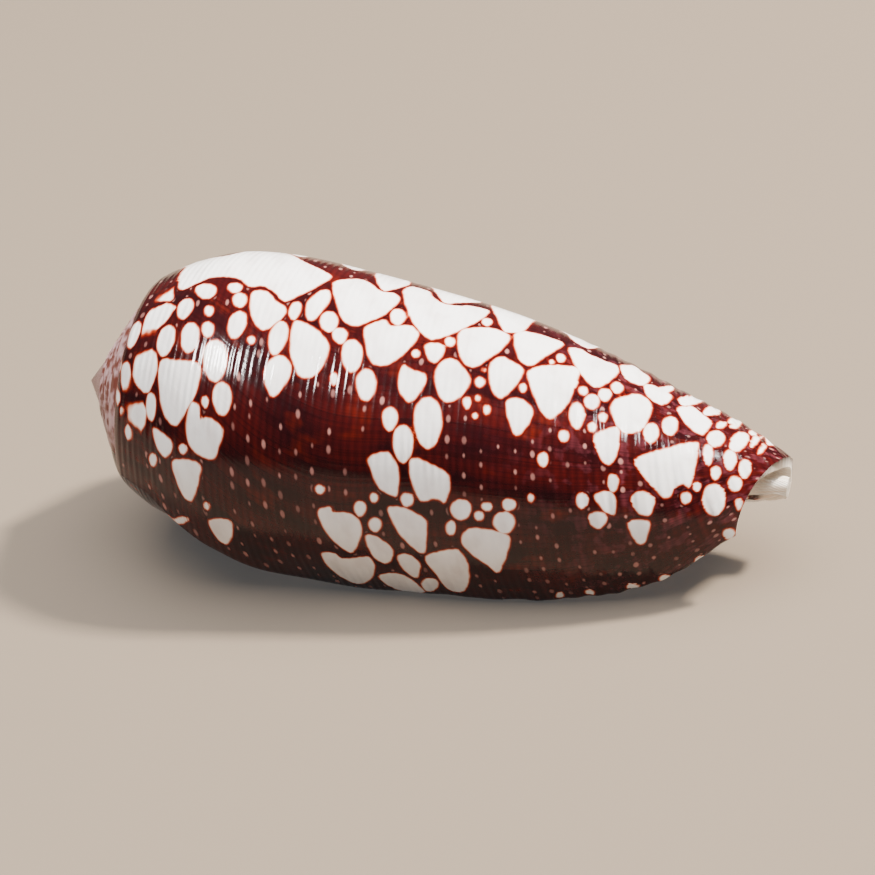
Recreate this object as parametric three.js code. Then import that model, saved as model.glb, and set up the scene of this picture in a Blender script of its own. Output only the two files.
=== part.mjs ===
// A cone shell, slender and tented, lying on its aperture as it settles on a table.
// It is one coiled tube of shell, so it is one closed solid: the spire, the body whorl,
// the columella and the thin outer lip, with the slit of the aperture open underneath.
//
// The shell is worked out along its coiling axis, with the apex at 0 and the tip at the
// far end. Growth is an angle: 0 at the edge of the outer lip, and negative going back
// into older shell, a full turn each time round. All lengths are in millimetres.

import * as THREE from "three";

// Main sizes
const shellLength = 52;
const spireTurns = 5;
const growthPerTurn = 1.3;

// Shoulder: where the flat ramp of a whorl turns over into its side
const shoulderAlong = 4.9;
const shoulderRadius = 9;
const shoulderFullness = 2;
const sideStart = 8.5;

// Side of the last whorl: how far along the axis, its radius at the lip, and how much
// smaller the same place was one turn before, which is the aperture and the wall together
const sideStations = [
  { along: 8.5, radius: 10.8, drop: 2.5 },
  { along: 11, radius: 11.9, drop: 2.8 },
  { along: 15, radius: 12.8, drop: 3.7 },
  { along: 21, radius: 12.6, drop: 4 },
  { along: 27, radius: 12.1, drop: 4.5 },
  { along: 33, radius: 11.6, drop: 5.5 },
  { along: 39, radius: 10.6, drop: 6.4 },
  { along: 44, radius: 9, drop: 6.4 },
  { along: 48, radius: 6.7, drop: 5 },
  { along: 52, radius: 3, drop: 2.2 },
];

// Outer lip: the angle of its edge round the axis, in degrees from the top towards the
// near side, at fractions of the way from the shoulder to the tip
const lipStations = [
  { fraction: 0, angle: 101 },
  { fraction: 0.12, angle: 116 },
  { fraction: 0.22, angle: 129 },
  { fraction: 0.3, angle: 135 },
  { fraction: 0.5, angle: 132.7 },
  { fraction: 0.75, angle: 131.5 },
  { fraction: 0.9, angle: 124.5 },
  { fraction: 1, angle: 106.5 },
];

// Lip tuck: behind its edge the outer wall leans in a little, so the edge lies on the ground
const tuckStations = [
  { fraction: 0, tuck: 0 },
  { fraction: 0.12, tuck: 0.1 },
  { fraction: 0.26, tuck: 0.5 },
  { fraction: 0.4, tuck: 0.2 },
  { fraction: 0.6, tuck: 0 },
];
const tuckReach = 0.9;

// Front notch: the lip's front corner stops short of the tip
const notchDepth = 2.6;
const notchSpread = 1.2;

// Wall and hollow: the hollow winds back from the lip for most of a turn
const wallThickness = 1.1;
const lipThickness = 0.5;
const lipTaperAngle = 0.45;
const wallShareOfGap = 0.5;
const hollowTurn = 280 / 360;
const hollowRoofFraction = 0.09;

// How far the axis dips towards the tip once the shell has settled on its lip, in degrees,
// and how much is rubbed flat where it lies on the ground
const restDip = 5.4;
const restFlat = 0.15;

// Fineness of the faceted skin
const stepsPerTurn = 48;
const sideRows = 30;
const rampRows = 4;

const fullTurn = 2 * Math.PI;

// A smooth curve through stations, as a function of one value
function smoothThrough(stations, key, value) {
  const at = stations.map((station) => station[key]);
  const height = stations.map((station) => station[value]);
  const last = stations.length - 1;
  const rise = at.slice(1).map((x, i) => (height[i + 1] - height[i]) / (x - at[i]));
  const slope = height.map((_, i) => {
    if (i === 0) return rise[0];
    if (i === last) return rise[last - 1];
    const before = at[i] - at[i - 1];
    const after = at[i + 1] - at[i];
    return (rise[i - 1] * after + rise[i] * before) / (before + after);
  });
  return (x) => {
    const clamped = Math.min(Math.max(x, at[0]), at[last]);
    let i = 0;
    while (i < last - 1 && clamped > at[i + 1]) i += 1;
    const width = at[i + 1] - at[i];
    const t = (clamped - at[i]) / width;
    const s = 1 - t;
    return (
      (1 + 2 * t) * s * s * height[i] +
      t * s * s * width * slope[i] +
      t * t * (3 - 2 * t) * height[i + 1] -
      t * t * s * width * slope[i + 1]
    );
  };
}

const radiusAtLip = smoothThrough(sideStations, "along", "radius");
const dropInATurn = smoothThrough(sideStations, "along", "drop");
const lipAngle = smoothThrough(lipStations, "fraction", "angle");
const lipTuck = smoothThrough(tuckStations, "fraction", "tuck");

function shrink(growth) {
  return growthPerTurn ** (growth / fullTurn);
}

// Front end of the whorl at a growth angle
function frontEnd(growth) {
  return shellLength - notchDepth * Math.exp(-((growth / notchSpread) ** 2));
}

// Point on the outside of a whorl's side, as axis position, radius and angle
function sidePoint(growth, fraction) {
  const start = sideStart * shrink(growth);
  const along = start + fraction * (frontEnd(growth) - start);
  const pull = THREE.MathUtils.smoothstep(1 - fraction / 0.35, 0, 1);
  const station = along - (start - sideStart) * pull;
  const full = radiusAtLip(station);
  const perTurn = full / (full - dropInATurn(station));
  const tuck = lipTuck(fraction) * THREE.MathUtils.smoothstep(growth, -tuckReach, 0);
  return {
    along,
    radius: full * perTurn ** (growth / fullTurn) - tuck,
    angle: THREE.MathUtils.degToRad(lipAngle(fraction)) + growth,
  };
}

// Point on the ramp of a whorl, from its suture at 0 over the shoulder to its side at 1
function rampPoint(growth, fraction) {
  const suture = (1 - fraction) ** 2;
  const shoulder = 2 * shoulderFullness * fraction * (1 - fraction);
  const side = fraction ** 2;
  const total = suture + shoulder + side;
  const sideRadius = radiusAtLip(sideStart);
  const along =
    (suture * (sideStart / growthPerTurn) + shoulder * shoulderAlong + side * sideStart) / total;
  const radius =
    (suture * (sideRadius / growthPerTurn) + shoulder * shoulderRadius + side * sideRadius) / total;
  const size = shrink(growth) * THREE.MathUtils.smoothstep(growth + spireTurns * fullTurn, 0, 4);
  return {
    along: along * size,
    radius: radius * size,
    angle: THREE.MathUtils.degToRad(lipAngle(0)) + growth,
  };
}

// Point on the inside of the outer wall
function innerPoint(growth, fraction) {
  const outside = sidePoint(growth, fraction);
  const before = sidePoint(growth - fullTurn, fraction);
  const thickening = THREE.MathUtils.smoothstep(-growth, 0, lipTaperAngle);
  const wall = THREE.MathUtils.lerp(lipThickness, wallThickness, thickening);
  const room = (outside.radius - before.radius) * wallShareOfGap;
  return { ...outside, radius: outside.radius - Math.min(wall, room) };
}

// The skin: points and triangles
const points = [];
const triangles = [];

function addPoint({ along, radius, angle }) {
  points.push(along, -radius * Math.sin(angle), radius * Math.cos(angle));
  return points.length / 3 - 1;
}

function addTriangle(a, b, c) {
  if (a !== b && b !== c && c !== a) triangles.push(a, b, c);
}

// Two triangles for each cell between two rows of points
function addStrip(rowA, rowB) {
  for (let i = 0; i + 1 < rowA.length; i += 1) {
    addTriangle(rowA[i], rowB[i], rowB[i + 1]);
    addTriangle(rowA[i], rowB[i + 1], rowA[i + 1]);
  }
}

function range(from, to) {
  return Array.from({ length: to - from + 1 }, (_, i) => from + i);
}

const growthStep = fullTurn / stepsPerTurn;
const hollowSteps = Math.round(hollowTurn * stepsPerTurn);
const roofRow = Math.round(hollowRoofFraction * sideRows);
const firstStep = -spireTurns * stepsPerTurn;

// Ramp columns, from the apex to the lip: step 0 is the lip and steps before it are older
const apex = addPoint({ along: 0, radius: 0, angle: 0 });
const ramp = new Map();
for (const step of range(firstStep, 0)) {
  const suture = ramp.has(step - stepsPerTurn) ? ramp.get(step - stepsPerTurn)[rampRows] : apex;
  const column = [suture];
  for (const row of range(1, rampRows)) {
    const isStart = step === firstStep;
    column.push(isStart ? apex : addPoint(rampPoint(step * growthStep, row / rampRows)));
  }
  ramp.set(step, column);
}
for (const step of range(firstStep, -1)) {
  addStrip(ramp.get(step), ramp.get(step + 1));
}

// Side columns of the last whorl, hung on the ramp's outer edge
const side = new Map();
for (const step of range(-stepsPerTurn, 0)) {
  const column = [ramp.get(step)[rampRows]];
  for (const row of range(1, sideRows)) {
    column.push(addPoint(sidePoint(step * growthStep, row / sideRows)));
  }
  side.set(step, column);
}
for (const step of range(-stepsPerTurn, -1)) {
  addStrip(side.get(step), side.get(step + 1));
}

// The hollow: the whorl before it as a floor, and the inside of the outer wall
const hollowRows = range(roofRow, sideRows);
const floor = [side.get(-stepsPerTurn).slice(roofRow)];
const ceiling = [];
for (const back of range(0, hollowSteps)) {
  const growth = -back * growthStep;
  ceiling.push(hollowRows.map((row) => addPoint(innerPoint(growth, row / sideRows))));
  if (back > 0) {
    floor.push(
      hollowRows.map((row) => addPoint(sidePoint(growth - fullTurn, row / sideRows))),
    );
  }
}
for (const back of range(0, hollowSteps - 1)) {
  addStrip(ceiling[back], ceiling[back + 1]);
  addStrip(floor[back + 1], floor[back]);
}
addStrip(ceiling[hollowSteps], floor[hollowSteps]);

// The hollow's roof, under the shoulder
addStrip(
  ceiling.map((column) => column[0]),
  floor.map((column) => column[0]),
);

// The edge of the lip, and the solid end of the whorl above the hollow
const lipOutside = side.get(0);
addStrip(lipOutside.slice(roofRow), ceiling[0]);
const growingEnd = [
  ...ramp.get(0),
  ...lipOutside.slice(1, roofRow + 1),
  ceiling[0][0],
  ...side.get(-stepsPerTurn).slice(1, roofRow + 1).reverse(),
];
const endCentre = points.length / 3;
const corners = growingEnd.length;
points.push(
  ...[0, 1, 2].map((axis) => growingEnd.reduce((sum, i) => sum + points[3 * i + axis], 0) / corners),
);
growingEnd.forEach((point, i) => addTriangle(endCentre, growingEnd[(i + 1) % corners], point));

// The front: a rim round the canal, and the solid end of the columella
const frontRim = range(-hollowSteps, 0).map((step) => side.get(step)[sideRows]);
const canalRim = ceiling.map((column) => column[hollowRows.length - 1]).reverse();
addStrip(canalRim, frontRim);
const columellaTip = addPoint({ along: shellLength + 0.1, radius: 0, angle: 0 });
const columellaEdge = [
  ...range(-stepsPerTurn, -hollowSteps).map((step) => side.get(step)[sideRows]),
  canalRim[0],
  ...floor.slice(1).map((column) => column[hollowRows.length - 1]).reverse(),
];
columellaEdge.forEach((point, i) =>
  addTriangle(columellaTip, point, columellaEdge[(i + 1) % columellaEdge.length]),
);

const skin = new THREE.BufferGeometry();
skin.setAttribute("position", new THREE.Float32BufferAttribute(points, 3));
skin.setIndex(triangles);

// Settle it, rub it flat underneath, and put the middle of its bottom over the origin
skin.rotateY(THREE.MathUtils.degToRad(restDip));
skin.computeBoundingBox();
const ground = skin.boundingBox.min.z + restFlat;
const place = skin.attributes.position;
for (const corner of range(0, place.count - 1)) {
  place.setZ(corner, Math.max(place.getZ(corner), ground));
}
skin.computeBoundingBox();
const middle = skin.boundingBox.getCenter(new THREE.Vector3());
skin.translate(-middle.x, -middle.y, -ground);
skin.computeVertexNormals();

const porcelain = new THREE.MeshStandardMaterial({
  color: 0x4a1510,
  roughness: 0.25,
  metalness: 0,
});

const coneShell = new THREE.Mesh(skin, porcelain);
coneShell.name = "cone_shell";

const group = new THREE.Group();
group.add(coneShell);

export default group;
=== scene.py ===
# %% [markdown]
# # A tented cone shell
#
# A cone shell is one long tube of shell, wound round an axis while it grew. This lesson
# rebuilds its skin as a fine mesh from a formula for that winding, paints its white tents
# on the dark ground, and gives it the gloss and the fine spiral threads of the real thing.
#
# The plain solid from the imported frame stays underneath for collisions, and the fine mesh
# takes its place in the picture.

import math

import bpy
import numpy as np
from mathutils import Matrix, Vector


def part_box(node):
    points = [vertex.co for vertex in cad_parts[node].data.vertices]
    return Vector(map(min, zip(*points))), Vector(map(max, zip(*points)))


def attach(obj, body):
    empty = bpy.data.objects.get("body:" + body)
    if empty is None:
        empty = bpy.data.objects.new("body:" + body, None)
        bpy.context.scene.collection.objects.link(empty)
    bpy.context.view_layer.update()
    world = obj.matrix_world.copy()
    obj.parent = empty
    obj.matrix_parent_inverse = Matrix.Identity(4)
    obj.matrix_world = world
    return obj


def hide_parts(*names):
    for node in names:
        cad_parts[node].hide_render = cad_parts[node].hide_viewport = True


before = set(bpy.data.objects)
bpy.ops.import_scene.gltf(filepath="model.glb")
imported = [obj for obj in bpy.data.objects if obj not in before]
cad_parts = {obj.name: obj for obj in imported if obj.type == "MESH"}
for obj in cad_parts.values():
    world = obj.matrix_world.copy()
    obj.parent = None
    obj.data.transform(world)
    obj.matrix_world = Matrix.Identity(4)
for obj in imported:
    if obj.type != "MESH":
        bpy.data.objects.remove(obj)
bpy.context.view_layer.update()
solid_low, solid_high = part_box("cone_shell")
print("solid from", tuple(solid_low), "to", tuple(solid_high))

# %% [markdown]
# ## How the shell grew
#
# The shell is described along its coiling axis in millimetres, with the apex at 0. Growth
# is an angle: 0 at the edge of the outer lip, and negative going back into older shell.
# One turn back, everything is smaller by a steady ratio. That is why a shell keeps its
# form while it grows, and it means that a handful of sizes gives the whole surface.

# %% Main sizes of the coil
SHELL_LENGTH = 52.0
SPIRE_TURNS = 5
GROWTH_PER_TURN = 1.3
FULL_TURN = 2 * math.pi
REST_DIP = math.radians(5.4)
REST_FLAT = 0.15

SHOULDER_ALONG = 4.9
SHOULDER_RADIUS = 9.0
SHOULDER_FULLNESS = 2.0
SIDE_START = 8.5
APEX_GROWTH = 4

# Along the axis: how wide the last whorl is at the lip, and how much it gained in a turn
SIDE_ALONG = [8.5, 11, 15, 21, 27, 33, 39, 44, 48, 52]
SIDE_RADIUS = [10.8, 11.9, 12.8, 12.6, 12.1, 11.6, 10.6, 9, 6.7, 3]
SIDE_GAIN = [2.5, 2.8, 3.7, 4, 4.5, 5.5, 6.4, 6.4, 5, 2.2]
STRETCHED_SHARE = 0.35

# From shoulder to tip: the angle of the lip's edge, from the top towards the near side
LIP_FRACTION = [0, 0.12, 0.22, 0.3, 0.5, 0.75, 0.9, 1]
LIP_ANGLE = [101, 116, 129, 135, 132.7, 131.5, 124.5, 106.5]

# Just behind its edge the outer wall leans in a little, so that the edge lies on the table
TUCK_FRACTION = [0, 0.12, 0.26, 0.4, 0.6]
LIP_TUCK = [0, 0.1, 0.5, 0.2, 0]
TUCK_REACH = 0.9

# The notch at the tip, the walls, and the hollow behind the lip
NOTCH_DEPTH = 2.6
NOTCH_SPREAD = 1.2
WALL = 1.1
LIP_WALL = 0.5
LIP_TAPER_ANGLE = 0.45
HOLLOW_ANGLE = math.radians(280)
HOLLOW_ROOF = 0.1
print("a shell", SHELL_LENGTH, "mm long, with", SPIRE_TURNS, "turns")

# %% [markdown]
# The sizes above are stations along the shell. A smooth curve through them gives the size
# everywhere between, as a draughtsman's bent batten does, so that few numbers are needed.


# %% Smooth curves through a few stations
def smooth_through(at, height):
    """A smooth function of one value that passes through the given stations."""
    at = np.asarray(at, float)
    height = np.asarray(height, float)
    rise = np.diff(height) / np.diff(at)
    width = np.diff(at)
    inner = (rise[:-1] * width[1:] + rise[1:] * width[:-1]) / (width[1:] + width[:-1])
    slope = np.concatenate([rise[:1], inner, rise[-1:]])

    def curve(x):
        x = np.clip(x, at[0], at[-1])
        i = np.clip(np.searchsorted(at, x, side="right") - 1, 0, len(at) - 2)
        t = (x - at[i]) / width[i]
        s = 1 - t
        return (
            (1 + 2 * t) * s * s * height[i]
            + t * s * s * width[i] * slope[i]
            + t * t * (3 - 2 * t) * height[i + 1]
            - t * t * s * width[i] * slope[i + 1]
        )

    return curve


def ease(x, low, high):
    """0 below low, 1 above high, and smooth between."""
    t = np.clip((x - low) / (high - low), 0, 1)
    return t * t * (3 - 2 * t)


radius_at_lip = smooth_through(SIDE_ALONG, SIDE_RADIUS)
gain_in_a_turn = smooth_through(SIDE_ALONG, SIDE_GAIN)
lip_angle = smooth_through(LIP_FRACTION, LIP_ANGLE)
lip_tuck = smooth_through(TUCK_FRACTION, LIP_TUCK)
print("widest station of the side:", max(SIDE_RADIUS), "mm from the axis")

# %% [markdown]
# Any point of the skin now follows from two values: when it grew, and where it lay on the
# lip at that time. The lip's profile has two parts: the ramp from the suture over the
# shoulder, which shows in the spire, and the long side down to the tip.


# %% Points on the outside of a whorl
def shrink(growth):
    return GROWTH_PER_TURN ** (growth / FULL_TURN)


def side_coil(growth, fraction):
    """Axis position, radius and angle on a whorl's side, from shoulder 0 to tip 1."""
    start = SIDE_START * shrink(growth)
    front = SHELL_LENGTH - NOTCH_DEPTH * np.exp(-((growth / NOTCH_SPREAD) ** 2))
    along = start + fraction * (front - start)
    station = along - (start - SIDE_START) * ease(1 - fraction / STRETCHED_SHARE, 0, 1)
    full = radius_at_lip(station)
    per_turn = full / (full - gain_in_a_turn(station))
    tuck = lip_tuck(fraction) * ease(growth, -TUCK_REACH, 0)
    angle = np.radians(lip_angle(fraction)) + growth
    return along, full * per_turn ** (growth / FULL_TURN) - tuck, angle


def ramp_coil(growth, fraction):
    """The same on the ramp of the spire, from the suture 0 over the shoulder to 1."""
    suture = (1 - fraction) ** 2
    shoulder = 2 * SHOULDER_FULLNESS * fraction * (1 - fraction)
    side = fraction**2
    total = suture + shoulder + side
    reach = radius_at_lip(SIDE_START)
    along = suture * SIDE_START / GROWTH_PER_TURN + shoulder * SHOULDER_ALONG
    radius = suture * reach / GROWTH_PER_TURN + shoulder * SHOULDER_RADIUS
    size = shrink(growth) * ease(growth + SPIRE_TURNS * FULL_TURN, 0, APEX_GROWTH)
    angle = np.radians(LIP_ANGLE[0]) + growth
    along = (along + side * SIDE_START) / total * size
    radius = (radius + side * reach) / total * size
    return along, radius, angle


def skin_coil(growth, level):
    """Ramp and side as one sheet: level runs from -1 at the suture over 0 to 1 at the tip."""
    on_ramp = ramp_coil(growth, np.clip(level + 1, 0, 1))
    on_side = side_coil(growth, np.clip(level, 0, 1))
    return [np.where(level < 0, a, b) for a, b in zip(on_ramp, on_side)]


# %% [markdown]
# ## Where it lies
#
# A shell set down on a table settles on its lip, with the axis dipping towards the tip.
# The formula's points are turned by that dip and moved into the frame, so that the fine
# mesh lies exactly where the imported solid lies. Where it touches, it is rubbed flat.


# %% From the coil to the frame
PROBE_TURNS = 1.2
PROBE_COLUMNS = 433
PROBE_ROWS = 301


def turned(along, radius, angle):
    """Points in millimetres beside the axis, with the dip towards the tip put in."""
    x = along * math.cos(REST_DIP) + radius * np.cos(angle) * math.sin(REST_DIP)
    y = -radius * np.sin(angle)
    z = radius * np.cos(angle) * math.cos(REST_DIP) - along * math.sin(REST_DIP)
    return np.stack(np.broadcast_arrays(x, y, z), -1)


probe_growths = np.linspace(-PROBE_TURNS * FULL_TURN, 0, PROBE_COLUMNS)
probe_levels = np.linspace(-1, 1, PROBE_ROWS)
probe_growth, probe_level = np.meshgrid(probe_growths, probe_levels, indexing="ij")
probe = turned(*skin_coil(probe_growth, probe_level))
apex = turned(np.zeros(1), np.zeros(1), np.zeros(1))
probe_low = np.minimum(probe.min((0, 1)), apex[0])
probe_high = probe.max((0, 1))
solid_middle = 1000 * (np.array(solid_low) + np.array(solid_high)) / 2
solid_floor = 1000 * solid_low[2]
settle = solid_middle - (probe_low + probe_high) / 2
settle[2] = solid_floor - probe_low[2] - REST_FLAT
print("moved by", settle.round(3), "mm")
print("size of the formula's box:", (probe_high - probe_low).round(2), "mm")


def place(along, radius, angle):
    """Points in the frame, in metres."""
    points = turned(along, radius, angle) + settle
    points[..., 2] = np.maximum(points[..., 2], solid_floor)
    return points / 1000


# %% [markdown]
# ## The camera
#
# The photograph was taken from low over the table, a little towards the tip's side. The
# camera's place comes from its direction and distance. The camera is made before the
# markings, because it tells where each mark seen in the picture sits on the shell.

# %% Make the camera
PICTURE_WIDTH = 875
CAMERA_AZIMUTH = math.radians(19.43)
CAMERA_ELEVATION = math.radians(27.92)
CAMERA_ROLL = math.radians(-5.7)
CAMERA_DISTANCE = 0.1868
CAMERA_AIM = np.array([0.00095, 0, 0.0084])
FOCAL_PIXELS = 2630
SENSOR_WIDTH = 36

level_right = np.array([math.cos(CAMERA_AZIMUTH), math.sin(CAMERA_AZIMUTH), 0])
camera_back = np.array(
    [
        math.sin(CAMERA_AZIMUTH) * math.cos(CAMERA_ELEVATION),
        -math.cos(CAMERA_AZIMUTH) * math.cos(CAMERA_ELEVATION),
        math.sin(CAMERA_ELEVATION),
    ]
)
level_up = np.cross(camera_back, level_right)
camera_right = level_right * math.cos(CAMERA_ROLL) + level_up * math.sin(CAMERA_ROLL)
camera_up = level_up * math.cos(CAMERA_ROLL) - level_right * math.sin(CAMERA_ROLL)
camera_place = CAMERA_AIM + camera_back * CAMERA_DISTANCE

camera_data = bpy.data.cameras.new("camera")
camera_data.sensor_width = SENSOR_WIDTH
camera_data.lens = FOCAL_PIXELS / PICTURE_WIDTH * SENSOR_WIDTH
camera_data.clip_start = 0.01
camera_data.dof.use_dof = False
camera = bpy.data.objects.new("camera", camera_data)
bpy.context.scene.collection.objects.link(camera)
axes = [camera_right, camera_up, camera_back, camera_place]
camera.matrix_world = Matrix([*zip(*axes), (0, 0, 0, 1)])
bpy.context.scene.camera = camera
print("lens", round(camera_data.lens, 1), "mm, camera at", camera_place.round(3))


def to_picture(points):
    """Pixel coordinates of points in the frame, in the 875 by 875 picture."""
    seen = points - camera_place
    depth = -(seen @ camera_back)
    across = PICTURE_WIDTH / 2 + FOCAL_PIXELS * (seen @ camera_right) / depth
    down = PICTURE_WIDTH / 2 - FOCAL_PIXELS * (seen @ camera_up) / depth
    return np.stack([across, down], -1)


# %% [markdown]
# ## The skin's grid
#
# The last whorl is most of what shows, so it gets a fine grid: columns go round with the
# growth and rows run from the suture to the tip. The columns stand closer at the lip,
# where the edge is rounded.

# %% Grid of the last whorl
COLUMNS = 400
SIDE_ROWS = 190
RAMP_ROWS = 8
EDGE_COLUMNS = 5
EDGE_ANGLE = 0.05

even = np.linspace(-FULL_TURN, -EDGE_ANGLE, COLUMNS + 1)
edge_turn = np.linspace(0, math.pi / 2, EDGE_COLUMNS + 1)
edge = -EDGE_ANGLE * (1 - np.sin(edge_turn))
growths = np.concatenate([even, edge[1:]])
ramp_levels = np.linspace(-1, 0, RAMP_ROWS + 1)
side_levels = np.linspace(0, 1, SIDE_ROWS + 1)
levels = np.concatenate([ramp_levels[:-1], side_levels])
grid_growth, grid_level = np.meshgrid(growths, levels, indexing="ij")
print("grid of the last whorl:", grid_growth.shape)

# %% [markdown]
# A cone shell has low spiral cords near the front, slight swellings where growth paused,
# and small scallops along the lip. A bump in the material could fake them, but not where
# they show in the outline, so they are real relief: a small height added to the radius.

# %% Relief of the skin
CORD_PITCH = 1.45
CORD_HEIGHT = 0.05
CORDS_FROM = 33
CORDS_FULL = 42
SWELLING_HEIGHT = 0.025
SWELLING_BEAT = 9.1
SLOW_BEAT = 3.7
SLOW_SHARE = 0.8
RELIEF_FROM = 6
RELIEF_FULL = 12
SCALLOP_REACH = 0.25
SCALLOP_RADIUS = 10
SCALLOP_GROWTH = 0.2
SCALLOPS_FROM = 0.3
SCALLOPS_FULL = 0.6
LARGE_SCALLOP_BEAT = 61
LARGE_SCALLOP_SHARE = 0.3
SMALL_SCALLOP_BEAT = 97
SMALL_SCALLOP_SHARE = 0.2
SMALL_SCALLOP_SHIFT = 1.3
EDGE_ROUNDING = 0.15
ROUNDING_FADE = 0.05


def spiral_track(along, growth):
    """The place along the axis that a point's spiral thread reaches at the lip."""
    return along / shrink(growth)


def relief(along, growth):
    """Height of the low spiral cords and of the growth swellings, in millimetres."""
    track = spiral_track(along, growth)
    cords = CORD_HEIGHT * np.cos(FULL_TURN * track / CORD_PITCH)
    cords = cords * ease(along, CORDS_FROM, CORDS_FULL)
    slow = SLOW_SHARE * np.sin(growth * SLOW_BEAT)
    swelling = SWELLING_HEIGHT * np.sin(growth * SWELLING_BEAT + slow)
    return (cords + swelling) * ease(along, RELIEF_FROM, RELIEF_FULL)


def scalloped(growth, level):
    """Growth with the lip's edge drawn back in small scallops."""
    large = LARGE_SCALLOP_SHARE * np.sin(level * LARGE_SCALLOP_BEAT)
    small = SMALL_SCALLOP_SHARE * np.sin(level * SMALL_SCALLOP_BEAT + SMALL_SCALLOP_SHIFT)
    wave = 0.5 + large + small
    reach = SCALLOP_REACH / SCALLOP_RADIUS * ease(level, SCALLOPS_FROM, SCALLOPS_FULL)
    return growth - reach * wave * ease(growth, -SCALLOP_GROWTH, 0)


def rounding(growth, level):
    """How far the skin dips in towards the lip's rounded edge, from 0 to 1."""
    near = np.clip(1 + growth / EDGE_ANGLE, 0, 1)
    round_off = 1 - np.sqrt(1 - near**2)
    return round_off * ease(level, HOLLOW_ROOF, HOLLOW_ROOF + ROUNDING_FADE)


def outside(growth, level):
    """The finished outside of the last whorl."""
    along, radius, angle = skin_coil(scalloped(growth, level), level)
    dip = EDGE_ROUNDING * rounding(growth, level)
    return along, radius + relief(along, growth) - dip, angle


grid_along, grid_radius, grid_angle = outside(grid_growth, grid_level)
skin = place(grid_along, grid_radius, grid_angle)
column_gaps = np.linalg.norm(skin[1:] - skin[:-1], axis=2)
print("widest gap between columns:", round(float(column_gaps.max()) * 1000, 3), "mm")

# %% [markdown]
# ## Where the white tents are
#
# Each white tent on a cone shell is laid down at the growing lip and never changes again,
# so no two shells are marked alike. The tents that show in the picture were read from it,
# as a few corners each, in pixels. The large ones are outlines and the small ones are
# ovals. The next cells find the same places on the skin, so the markings are part of
# the shell and stay put when it is seen from elsewhere.

# %% Outlines of the larger tents
UPPER_EDGE_TENTS = {
    "long band": [
        (178, 287), (193, 263), (225, 256), (256, 251), (282, 253), (301, 260), (320, 269),
        (332, 277), (314, 288), (300, 295), (288, 301), (281, 300), (274, 292), (263, 286),
        (250, 287), (241, 280), (228, 277), (209, 278), (197, 283),
    ],
    "below band": [
        (253, 292), (267, 292), (276, 301), (287, 309), (280, 320), (264, 330), (255, 323),
        (250, 309),
    ],
    "leaning": [(320, 291), (329, 290), (330, 299), (322, 312), (311, 321), (306, 313), (309, 300)],
    "wide shield": [
        (333, 283), (355, 279), (368, 282), (381, 291), (394, 293), (400, 300), (385, 314),
        (368, 322), (355, 326), (344, 321), (338, 308),
    ],
    "edge sliver": [(375, 275), (385, 270), (408, 280), (409, 285), (391, 290), (381, 289)],
    "heart": [
        (365, 328), (378, 321), (386, 320), (390, 326), (401, 325), (412, 326), (419, 336),
        (406, 352), (391, 363), (378, 365), (370, 360), (365, 343),
    ],
    "crown": [
        (403, 292), (413, 287), (429, 292), (432, 296), (442, 303), (459, 306), (470, 306),
        (489, 311), (480, 320), (458, 331), (441, 338), (429, 339), (417, 328), (409, 314),
    ],
    "behind crown": [(432, 285), (458, 290), (482, 299), (480, 303), (458, 303), (442, 301)],
    "far edge": [
        (491, 307), (500, 304), (519, 312), (538, 321), (525, 330), (510, 332), (502, 328),
    ],
    "under crown": [
        (459, 333), (468, 328), (493, 328), (510, 336), (502, 349), (483, 363), (472, 367),
        (463, 362), (458, 349),
    ],
    "wedge": [(425, 346), (434, 343), (444, 346), (442, 357), (434, 363), (427, 357)],
}
UPPER_MIDDLE_TENTS = {
    "pale drop": [
        (403, 365), (412, 370), (424, 373), (426, 381), (418, 395), (409, 402), (401, 394),
        (398, 380),
    ],
    "scarred": [
        (438, 366), (447, 359), (458, 362), (470, 379), (463, 394), (450, 402), (441, 398),
        (435, 382),
    ],
    "kite": [
        (491, 363), (501, 357), (509, 360), (524, 370), (515, 386), (502, 398), (494, 393),
        (489, 379),
    ],
    "lying drop": [
        (514, 336), (522, 331), (542, 335), (564, 344), (542, 359), (529, 366), (518, 357),
    ],
    "edge drop": [
        (569, 348), (583, 350), (593, 356), (617, 366), (615, 377), (597, 388), (586, 380),
        (575, 365),
    ],
    "long edge": [(620, 366), (634, 367), (650, 378), (642, 385), (628, 380)],
    "thin edge": [(645, 384), (660, 388), (672, 396), (667, 403), (657, 404), (647, 395)],
    "large wedge": [
        (528, 372), (542, 366), (575, 367), (579, 377), (568, 403), (555, 417), (547, 418),
        (537, 403), (529, 382),
    ],
    "small wedge": [(506, 403), (519, 398), (533, 409), (529, 423), (519, 435), (512, 431)],
    "round front": [
        (611, 405), (619, 398), (642, 395), (652, 407), (644, 427), (634, 433), (621, 431),
        (612, 416),
    ],
    "tall front": [(594, 436), (616, 427), (620, 433), (616, 456), (609, 465), (601, 459)],
}
MIDDLE_TENTS = {
    "left of pair": [
        (368, 458), (384, 452), (393, 457), (399, 473), (397, 495), (390, 495), (379, 488),
        (372, 473),
    ],
    "right of pair": [
        (409, 463), (416, 458), (426, 462), (449, 476), (446, 502), (435, 499), (421, 501),
        (412, 484),
    ],
    "big panel": [
        (635, 460), (660, 450), (695, 442), (698, 449), (695, 469), (690, 487), (683, 484),
        (675, 488), (671, 496), (662, 497), (654, 488), (644, 477),
    ],
    "lower row": [(594, 496), (606, 491), (615, 497), (616, 511), (612, 516), (603, 510)],
    "lower front": [(631, 497), (642, 491), (654, 498), (653, 511), (646, 516), (635, 510)],
    "low drop": [(628, 523), (648, 520), (649, 530), (644, 543), (637, 543)],
    "tip wedge": [(677, 409), (693, 407), (711, 421), (709, 428), (702, 435), (688, 426)],
}
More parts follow.
